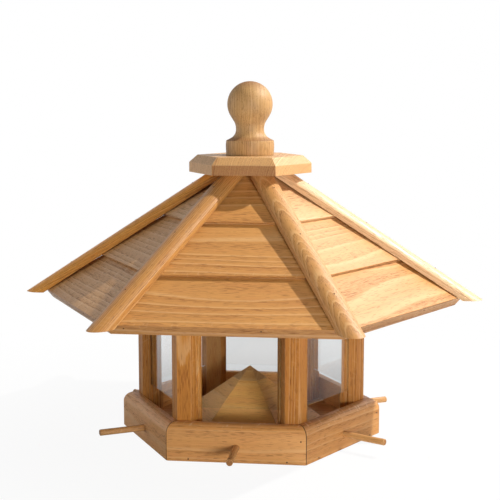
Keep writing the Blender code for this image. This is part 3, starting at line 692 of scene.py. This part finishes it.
# %% [markdown]
# ## The hip battens
#
# A round-topped batten covers each hip, with its grain up the hip. Its own length gives that direction: it
# is the line from its outermost point to its innermost. The front right batten is nearer to flat-sawn and
# cut a little across the fibres, so it shows a row of arches. A thin keel under each batten fills the
# notches above the laps. In the frame a small gap parts it from the boards, and light would show through
# that gap as a bright line, so the keel is let down until it all but touches them. The keel is also
# darkened as painted shade, since the notches it fills lie in shade.

# %% Hip battens
ARCH_SLOPE, ARCH_TURN = -10.0, 37.0
STRAIGHT_SLOPE, STRAIGHT_TURN = 1.2, 70.0
KEEL_REACH = 3.0 * MM
KEEL_BOTTOM = 1.5 * MM
KEEL_DROP = 0.25 * MM
KEEL_ROOT_RISE = 0.3 * MM
BATTEN_END = 8.0 * MM
SEAT_DEPTH = 0.5 * MM


def up_the_hip(node, out):
    """Direction of a batten from its tip to its head."""
    points = [vertex.co for vertex in NODES[node].data.vertices]
    tip = max(points, key=lambda point: point.dot(out))
    head = min(points, key=lambda point: point.dot(out) - 0.001 * point.z)
    return (head - tip).normalized()


def boards_below():
    """Search tree of all the roof boards' faces."""
    corners, faces = [], []
    for node in (name for name in NODES if "roof_board" in name):
        mesh, first = NODES[node].data, len(corners)
        corners += [vertex.co.copy() for vertex in mesh.vertices]
        faces += [[first + index for index in face.vertices] for face in mesh.polygons]
    return BVHTree.FromPolygons(corners, faces)


def let_keel_down(piece, hip, is_keel, boards):
    """Lower the keel's bottom edge until it all but touches the boards' ridge, and darken it with painted
    shade where it sits in the notches under the batten.
    """
    face = (UP - hip * hip.z).normalized()
    points = [vertex.co for vertex in piece.data.vertices]
    root = min(point.dot(face) for point in points if not is_keel(point)) + KEEL_ROOT_RISE
    for vertex in piece.data.vertices:
        depth = boards.ray_cast(vertex.co, -UP)[3] if is_keel(vertex.co) else None
        if depth is not None and depth < KEEL_BOTTOM:
            vertex.co.z -= KEEL_DROP
    # Painted shade: the keel below the batten's underside is darkened, as the notches it fills lie in shade.
    mark_joint_and_shade(piece, lambda point: float(is_keel(point) and point.dot(face) < root))


def dress_battens():
    """The six battens, with their keels let down."""
    boards = boards_below()
    for name, out in CORNER_OUT.items():
        node, aside = f"hip_batten_{name}", UP.cross(out)
        reaches = [vertex.co.dot(out) for vertex in NODES[node].data.vertices]
        inner, outer = min(reaches) + BATTEN_END, max(reaches) - BATTEN_END
        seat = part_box(node)[1].z - SEAT_DEPTH

        def on_keel(point):
            return abs(point.dot(aside)) < KEEL_REACH and inner < point.dot(out) < outer

        def stays_crisp(point):
            return on_keel(point) or point.z > seat

        hip, arched = up_the_hip(node, out), name == "front_right"
        slope = ARCH_SLOPE if arched else timber_yard.uniform(-STRAIGHT_SLOPE, STRAIGHT_SLOPE)
        batten = dress(node, "batten_oak", "roof", hip, UP, ease=STICK_EASE, leave=stays_crisp,
                       sawn=ARCH_TURN if arched else STRAIGHT_TURN, slope=slope)
        let_keel_down(batten, hip, on_keel, boards)


dress_battens()
print("hip battens:", len(CORNER_OUT))

# %% [markdown]
# ## The finial
#
# The ball, neck and base are turned from one upright stick. The frame's turning has 40 sides, so the dressed
# one takes the frame's own profile, rounds it with a spline between its crisp corners, and turns it again
# with the Screw modifier, finely enough to look round.

# %% Turn the finial again with a finer profile
TURN_STEPS = 144
SPLINE_STEPS = 4
ON_AXIS = 0.01 * MM


def frame_profile(node):
    """Points of a turned piece's section at +X, in order from its top."""
    shape = welded_copy(node)
    section = {v for v in shape.verts if abs(v.co.y) < ON_AXIS and v.co.x > -ON_AXIS}
    here = max(section, key=lambda v: v.co.z)
    points, seen = [], set()
    while here is not None:
        points.append(Vector((max(here.co.x, 0.0), here.co.z)))
        seen.add(here)
        linked = [e.other_vert(here) for e in here.link_edges]
        here = next((v for v in linked if v in section and v not in seen), None)
    shape.free()
    return points


def refined(points):
    """Spline through the points that keeps crisp corners and straight runs."""
    runs = [(after - before).normalized() for before, after in zip(points, points[1:])]
    smooth = {i: (runs[i - 1] + runs[i]).normalized() for i in range(1, len(runs))
              if runs[i - 1].angle(runs[i]) < CRISP_ANGLE}
    fine = [points[0]]
    for i, run in enumerate(runs):
        start, end, span = points[i], points[i + 1], (points[i + 1] - points[i]).length
        leave, arrive = smooth.get(i, run), smooth.get(i + 1, run)
        if i == 0:
            leave = 2.0 * run.dot(arrive) * run - arrive
        for step in range(1, SPLINE_STEPS + 1):
            t = step / SPLINE_STEPS
            square, cube = t * t, t * t * t
            fine.append(start * (2 * cube - 3 * square + 1) + leave * span * (cube - 2 * square + t)
                        + end * (3 * square - 2 * cube) + arrive * span * (cube - square))
    return fine


def turn_finial():
    """Finial with a fine round profile."""
    profile = refined(frame_profile("finial"))
    mesh = bpy.data.meshes.new("finial_profile")
    mesh.from_pydata([(max(p.x, 0.0), 0.0, p.y) for p in profile],
                     [(i, i + 1) for i in range(len(profile) - 1)], [])
    guide = new_object("finial_profile", mesh)
    screw = guide.modifiers.new("turn", "SCREW")
    screw.steps = TURN_STEPS
    screw.render_steps = TURN_STEPS
    screw.use_merge_vertices = True
    screw.merge_threshold = ON_AXIS
    turned = plain_mesh(guide)
    bpy.data.objects.remove(guide)
    shape = bmesh.new()
    shape.from_mesh(turned)
    bmesh.ops.remove_doubles(shape, verts=shape.verts, dist=ON_AXIS)
    bmesh.ops.recalc_face_normals(shape, faces=shape.faces)
    piece = as_piece("oak_finial", shape)
    lay_in_log(piece, UP, -FRONT_TO_BACK, sawn=83.0, pith=160.0 * MM)
    return enter(piece, "finial", "finial_oak", "lid")


finial = turn_finial()
print("finial:", len(finial.data.polygons), "faces")

# %% [markdown]
# ## The cap
#
# The cap is a chamfered hexagon with its grain from front to back, so its front edge shows end grain. It
# lies on the battens' heads. Its lower edge is left crisp, as it came from the saw, since that is where it
# meets them. A block under it drops into the filling hole and keeps it in the middle.

# %% Cap plate and the block under it
CAP_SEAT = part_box("cap_plate")[0].z + SEAT_DEPTH
dress("cap_plate", "cap_oak", "lid", FRONT_TO_BACK, UP, leave=lambda point: point.z < CAP_SEAT,
      sawn=76.0, pith=90.0 * MM)
dress("lid_locator", "locator_oak", "lid", LEFT_TO_RIGHT, UP)
print("lid: cap, locator and finial")

# %% [markdown]
# ## Places for the nail heads
#
# The joiner fixed the boards with small round-headed nails, which show as dark dots: two near the foot of
# each rim board into the floor, one through each mitre, two in each eave edge and three down each batten.
# The places come from rays shot at the frame, so each head sits on the wood and faces straight out of it.

# %% Places for the nail heads
RIM_NAILS = ((-58.0 * MM, 3.4 * MM), (61.6 * MM, 3.4 * MM), (78.2 * MM, 29.3 * MM))
EAVE_NAILS = ((-115.6 * MM, 180.0 * MM), (39.7 * MM, 180.0 * MM))
BATTEN_NAILS = (75.0 * MM, 150.0 * MM, 238.0 * MM)
SHOT_FROM = 0.6


def nail_place(node, start, towards):
    """Where a straight shot meets a node, and the direction out of its surface."""
    mesh = NODES[node].data
    corners = [vertex.co.copy() for vertex in mesh.vertices]
    tree = BVHTree.FromPolygons(corners, [tuple(face.vertices) for face in mesh.polygons])
    place, normal, _, _ = tree.ray_cast(start, towards)
    return place, (normal if normal.dot(towards) < 0.0 else -normal)


def nail_places():
    """Places and directions of the heads on the tray and on the roof."""
    tray, roof = [], []
    for name, out in SIDE_OUT.items():
        along = UP.cross(out)
        for nails, stem, places in ((RIM_NAILS, "rim_board", tray), (EAVE_NAILS, "lower_roof_board", roof)):
            for aside, height in nails:
                start = out * SHOT_FROM + along * aside + UP * height
                places.append(nail_place(f"{stem}_{name}", start, -out))
    for name, out in CORNER_OUT.items():
        for radius in BATTEN_NAILS:
            roof.append(nail_place(f"hip_batten_{name}", out * radius + UP * SHOT_FROM, -UP))
    return tray, roof


tray_nails, roof_nails = nail_places()
print("nail heads:", len(tray_nails), "on the tray,", len(roof_nails), "on the roof")

# %% [markdown]
# ## Nail steel
#
# The heads are blackened steel that has begun to rust in the rain. Each head carries its own share of rust
# in the attribute "rust", and fine noise breaks it into specks.

# %% Nail steel
RUST_SPECKS = 2600.0
STEEL, RUST = (0.045, 0.038, 0.034, 1.0), (0.13, 0.055, 0.022, 1.0)


def make_nail_steel():
    """Blackened steel with specks of rust."""
    material, tree, shader = new_material("nail_steel")
    place = add(tree, "ShaderNodeTexCoord").outputs["Object"]
    own = add(tree, "ShaderNodeAttribute", attribute_name="rust").outputs["Fac"]
    rust = calc(tree, "MULTIPLY_ADD", own, 0.4, noise(tree, place, RUST_SPECKS, 3.0))
    share = smooth_step(tree, rust, 0.45, 0.85)
    wire(tree, shader, {"Base Color": blend_colours(tree, share, STEEL, RUST),
                        "Metallic": calc(tree, "MULTIPLY_ADD", share, -0.5, 0.7),
                        "Roughness": calc(tree, "MULTIPLY_ADD", share, 0.35, 0.40)})
    return material


nail_steel = make_nail_steel()
print("nail steel:", len(nail_steel.node_tree.nodes), "nodes")

# %% [markdown]
# ## Nail heads by Geometry Nodes
#
# All the heads are alike, so one small tree makes them from points: a squashed sphere stands on each point
# along its attribute "out". Each head gets its own size, turn and rust from the seed. The tree's result is
# worked into one plain mesh for the tray and one for the roof.

# %% Nail heads by Geometry Nodes
NAIL_INPUTS = {"Radius": 1.0 * MM, "Proud": 0.3 * MM, "Seed": 11}
NAIL_CHANCES = {"size": (0.9, 1.1), "turn": (0.0, 6.283), "rust": (0.0, 1.0)}


def random_number(tree, seed, low, high):
    """Number between two limits that differs from head to head."""
    inputs = {2: low, 3: high, "Seed": seed}
    return add(tree, "FunctionNodeRandomValue", inputs, data_type="FLOAT").outputs[1]


def make_nail_tree():
    """Points in, one mesh of domed heads out."""
    tree, given, result = new_group(
        "nail_heads", [("Geometry", "Geometry", None), ("Radius", "Float", 0.0), ("Proud", "Float", 0.0),
                       ("Seed", "Int", 0)], [("Geometry", "Geometry")], "Geometry")
    dome = add(tree, "GeometryNodeMeshUVSphere", {"Segments": 16, "Rings": 8, "Radius": given["Radius"]})
    flat = calc(tree, "DIVIDE", given["Proud"], given["Radius"])
    squash = add(tree, "ShaderNodeCombineXYZ", {0: 1.0, 1: 1.0, 2: flat}).outputs[0]
    head = add(tree, "GeometryNodeTransform", {"Geometry": dome.outputs["Mesh"], "Scale": squash})
    out = add(tree, "GeometryNodeInputNamedAttribute", {"Name": "out"}, data_type="FLOAT_VECTOR")
    stand = add(tree, "FunctionNodeAlignRotationToVector", {"Vector": out.outputs["Attribute"]}, axis="Z")
    own = {label: random_number(tree, calc(tree, "ADD", given["Seed"], float(step)), *limits)
           for step, (label, limits) in enumerate(NAIL_CHANCES.items())}
    spin = add(tree, "ShaderNodeCombineXYZ", {2: own["turn"]}).outputs[0]
    turned = add(tree, "FunctionNodeRotateRotation", {0: stand.outputs[0], 1: spin}, rotation_space="LOCAL")
    heads = add(tree, "GeometryNodeInstanceOnPoints",
                {"Points": given["Geometry"], "Instance": head.outputs[0], "Rotation": turned.outputs[0],
                 "Scale": own["size"]})
    marked = add(tree, "GeometryNodeStoreNamedAttribute",
                 {"Geometry": heads.outputs[0], "Name": "rust", "Value": own["rust"]}, domain="INSTANCE")
    real = add(tree, "GeometryNodeRealizeInstances", {0: marked.outputs[0]})
    smooth = add(tree, "GeometryNodeSetShadeSmooth", {0: real.outputs[0]})
    painted = add(tree, "GeometryNodeSetMaterial", {"Geometry": smooth.outputs[0], "Material": nail_steel})
    wire(tree, result, {"Geometry": painted.outputs[0]})
    return tree


def drive_nails(name, places, body):
    """One mesh of nail heads for a body."""
    points = bpy.data.meshes.new(name)
    points.from_pydata([tuple(place) for place, _ in places], [], [])
    store(points, "out", [value for _, normal in places for value in normal], kind="FLOAT_VECTOR")
    guide = new_object(name, points)
    modifier = guide.modifiers.new("nail_heads", "NODES")
    modifier.node_group = nail_tree
    for item in nail_tree.interface.items_tree:
        if item.in_out == "INPUT" and item.name in NAIL_INPUTS:
            modifier[item.identifier] = NAIL_INPUTS[item.name]
    mesh = plain_mesh(guide)
    bpy.data.objects.remove(guide)
    heads = new_object(name, mesh)
    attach(heads, body)
    return heads


nail_tree = make_nail_tree()
for name, places, body in (("tray_nail_heads", tray_nails, "base"), ("roof_nail_heads", roof_nails, "roof")):
    made = drive_nails(name, places, body)
    print(made.name, len(made.data.polygons), "faces")

# %% [markdown]
# ## Clear panes
#
# The panes are 3 mm acrylic. A Principled shader with full transmission gives them their edges and
# reflections. The silo looks equally grey through one sheet and through two, so only the first sheet that a
# ray meets is tinted and glossy, and the cut edges at top and bottom hardly show. For shadow rays the panes
# turn transparent: a real sheet lets nearly all the light into the silo, and a path tracer hardly finds that
# light through a refracting slab.

# %% Acrylic
PANE_GLOSS = 0.3
PANE_TINT, PANE_SHADOW = (0.88, 0.89, 0.89, 1.0), (0.90, 0.91, 0.91, 1.0)
ACRYLIC_INDEX = 1.49
FIRST_SHEET = 1.5
SCUFFS, SCUFF_DEPTH = 60.0, 0.1 * MM
WHITE = (1.0, 1.0, 1.0, 1.0)


def make_acrylic():
    """Clear sheet with a faint grey cast and fine scuffs."""
    material, tree, shader = new_material("clear_acrylic")
    place = add(tree, "ShaderNodeTexCoord").outputs["Object"]
    flat = add(tree, "ShaderNodeNewGeometry").outputs["True Normal"]
    upright = add(tree, "ShaderNodeSeparateXYZ", {0: flat}).outputs["Z"]
    edge = calc(tree, "GREATER_THAN", calc(tree, "ABSOLUTE", upright), 0.5)
    path = add(tree, "ShaderNodeLightPath").outputs
    near = calc(tree, "LESS_THAN", path["Transmission Depth"], FIRST_SHEET)
    scuffs = {"Strength": 0.05, "Distance": SCUFF_DEPTH, "Height": noise(tree, place, SCUFFS, 3.0)}
    wire(tree, shader, {"Base Color": blend_colours(tree, near, WHITE, PANE_TINT), "Roughness": 0.02,
                        "Transmission Weight": 1.0, "IOR": ACRYLIC_INDEX,
                        "Specular IOR Level": calc(tree, "MULTIPLY", near, PANE_GLOSS),
                        "Normal": add(tree, "ShaderNodeBump", scuffs).outputs["Normal"]})
    clear = add(tree, "ShaderNodeBsdfTransparent", {"Color": PANE_SHADOW})
    passed = calc(tree, "MAXIMUM", path["Is Shadow Ray"], edge)
    mixed = add(tree, "ShaderNodeMixShader", {0: passed, 1: shader.outputs[0], 2: clear.outputs[0]})
    wire(tree, tree.nodes["Material Output"], {"Surface": mixed.outputs[0]})
    return material


acrylic = make_acrylic()
for name in SIDE_NAMES:
    pane = NODES[f"pane_{name}"]
    pane.data.materials.clear()
    pane.data.materials.append(acrylic)
print("panes:", len(SIDE_NAMES))

# %% [markdown]
# ## Floor and world
#
# The studio is a white sweep. The camera, clear sheets and gloss see it as white, while the light that
# falls on the wood stays at a plain level and is a little warm. The Light Path node tells these rays apart.
# What the gloss sees is white behind the feeder and darker in front of it, as in a tent that is open to the
# camera. Near the feeder the floor is a little less than white, so that it keeps a faint shadow.

# %% Floor and world
FLOOR_REACH = 60.0
FLOOR_DROP = 0.05 * MM
FLOOR_COLOUR, FILL_COLOUR = (0.88, 0.88, 0.88, 1.0), (1.0, 0.90, 0.78, 1.0)
GLOSS_FRONT, GLOSS_BACK = -0.35, 0.55
FILL_LEFT, FILL_RIGHT = 0.13, 0.17
NEAR_WHITE = 0.93
SHADOW_REACH = (0.20, 0.75)
THROUGH_SHEET = 0.89


def seen_directly(tree, place):
    """Whether a ray comes from the camera or through a clear sheet, whether it is gloss, and how strong the
    gloss is, which falls off to the front and is a little less through a clear sheet."""
    path = add(tree, "ShaderNodeLightPath").outputs
    seen = calc(tree, "MAXIMUM", path["Is Camera Ray"], path["Is Transmission Ray"])
    front_to_back = add(tree, "ShaderNodeSeparateXYZ", {0: place}).outputs["Y"]
    dimmed = calc(tree, "MULTIPLY_ADD", path["Is Transmission Ray"], THROUGH_SHEET - 1.0, 1.0)
    behind = calc(tree, "MULTIPLY", smooth_step(tree, front_to_back, GLOSS_FRONT, GLOSS_BACK), dimmed)
    return seen, path["Is Glossy Ray"], behind


def studio_white(tree, kind, place, lit, share=1.0):
    """White for what is seen, the lit shader for what is lit, and white by its strength for gloss."""
    seen, gloss, behind = seen_directly(tree, place)
    white = add(tree, kind, {"Color": WHITE, "Strength": 1.0}).outputs[0]
    sheen = add(tree, kind, {"Color": WHITE, "Strength": behind}).outputs[0]
    shown = calc(tree, "MULTIPLY", seen, share)
    shown = add(tree, "ShaderNodeMixShader", {0: shown, 1: lit, 2: white}).outputs[0]
    return add(tree, "ShaderNodeMixShader", {0: gloss, 1: shown, 2: sheen}).outputs[0]


def make_floor():
    """Wide pale floor that keeps a faint shadow."""
    mesh = bpy.data.meshes.new("studio_floor")
    square = ((-FLOOR_REACH, -FLOOR_REACH), (FLOOR_REACH, -FLOOR_REACH), (FLOOR_REACH, FLOOR_REACH),
              (-FLOOR_REACH, FLOOR_REACH))
    mesh.from_pydata([(x, y, -FLOOR_DROP) for x, y in square], [], [(0, 1, 2, 3)])
    floor = new_object("studio_floor", mesh)
    material, tree, shader = new_material("white_sweep")
    wire(tree, shader, {"Base Color": FLOOR_COLOUR, "Roughness": 0.9, "Specular IOR Level": 0.0})
    place = add(tree, "ShaderNodeTexCoord").outputs["Object"]
    away = add(tree, "ShaderNodeVectorMath", {0: place}, operation="LENGTH").outputs["Value"]
    whiten = calc(tree, "MULTIPLY_ADD", smooth_step(tree, away, *SHADOW_REACH), 1.0 - NEAR_WHITE, NEAR_WHITE)
    mixed = studio_white(tree, "ShaderNodeEmission", place, shader.outputs[0], whiten)
    wire(tree, tree.nodes["Material Output"], {"Surface": mixed})
    mesh.materials.append(material)


def make_world():
    """White where it is seen, and a soft even fill where it lights the object."""
    world = bpy.data.worlds.new("studio")
    bpy.context.scene.world = world
    world.use_nodes = True
    tree = world.node_tree
    tree.nodes.clear()
    place = add(tree, "ShaderNodeTexCoord").outputs["Generated"]
    across = add(tree, "ShaderNodeSeparateXYZ", {0: place}).outputs["X"]
    right = smooth_step(tree, across, -0.9, 0.9)
    level = calc(tree, "MULTIPLY_ADD", right, FILL_RIGHT - FILL_LEFT, FILL_LEFT)
    fill = add(tree, "ShaderNodeBackground", {"Color": FILL_COLOUR, "Strength": level}).outputs[0]
    mixed = studio_white(tree, "ShaderNodeBackground", place, fill)
    add(tree, "ShaderNodeOutputWorld", {"Surface": mixed})


make_floor()
make_world()
print("studio: floor and world")

# %% [markdown]
# ## Lamps
#
# A small key lamp stands high on the right, a little behind, and draws the crisp shadows of the cap and the
# battens. It stands close, so its rays spread as the photo's shadows do. A soft sun from behind and a cool
# one from the left lift the shaded sides, and a wide low panel at the front right lights the tray and draws
# the perches' shadows.

# %% Lamps
KEY_PLACE, KEY_COLOUR = (1.126, 0.239, 1.442), (1.0, 0.98, 0.94)
PANEL_PLACE, PANEL_AIM, PANEL_COLOUR = (1.14, -2.52, 0.295), (0.0, -0.15, 0.05), (1.0, 0.98, 0.95)
PLAIN, COOL = (1.0, 1.0, 1.0), (0.94, 0.97, 1.0)
FOOT = (0.0, 0.0, 0.0)
SUN_DISTANCE = 2.0


def from_sky(bearing, height):
    """Place of a sun from its bearing (0 is +X, 90 is +Y) and its height above the floor, in degrees."""
    tilt = math.radians(height)
    return SUN_DISTANCE * (outward(math.radians(bearing)) * math.cos(tilt) + UP * math.sin(tilt))


def add_lamp(name, kind, place, colour, aim=None, **settings):
    """Lamp at a place, turned to face its aim, with the settings of its kind."""
    light = bpy.data.lights.new(name, kind)
    light.color = colour
    for label, value in settings.items():
        setattr(light, label, value)
    lamp = new_object(name, light)
    lamp.location = place
    if aim is not None:
        lamp.rotation_euler = (Vector(place) - Vector(aim)).to_track_quat("Z", "Y").to_euler()


add_lamp("key", "POINT", KEY_PLACE, KEY_COLOUR, energy=140.0, shadow_soft_size=0.025)
add_lamp("back_softbox", "SUN", from_sky(60.0, 38.0), PLAIN, FOOT, energy=0.6, angle=math.radians(45.0))
add_lamp("left_bounce", "SUN", from_sky(182.0, 2.0), COOL, FOOT, energy=1.1, angle=math.radians(40.0))
add_lamp("front_fill", "AREA", PANEL_PLACE, PANEL_COLOUR, PANEL_AIM, energy=38.0, shape="RECTANGLE",
         size=1.0, size_y=0.4)
print("lamps:", ", ".join(light.name for light in bpy.data.lights))

# %% [markdown]
# ## Camera
#
# The photograph was taken from a little right of the front, from about the height of the ball, with a long
# lens that looks slightly down. The camera's distance, height and turn round the feeder were worked out from
# the corners of the hexagons.

# %% Camera
CAMERA_BEARING = math.radians(6.652)
CAMERA_DISTANCE = 1.5384
CAMERA_HEIGHT = 0.4485
CAMERA_TILT = math.radians(7.75)
LENS = 86.22
SENSOR = 36.0

lens = bpy.data.cameras.new("camera")
lens.lens = LENS
lens.sensor_width = SENSOR
camera = new_object("camera", lens)
camera.location = outward(FRONT_BEARING + CAMERA_BEARING) * CAMERA_DISTANCE + UP * CAMERA_HEIGHT
camera.rotation_euler = (math.radians(90.0) - CAMERA_TILT, 0.0, CAMERA_BEARING)
bpy.context.scene.camera = camera
bpy.context.scene.view_settings.view_transform = "Standard"
print("camera at", [round(value, 3) for value in camera.location])
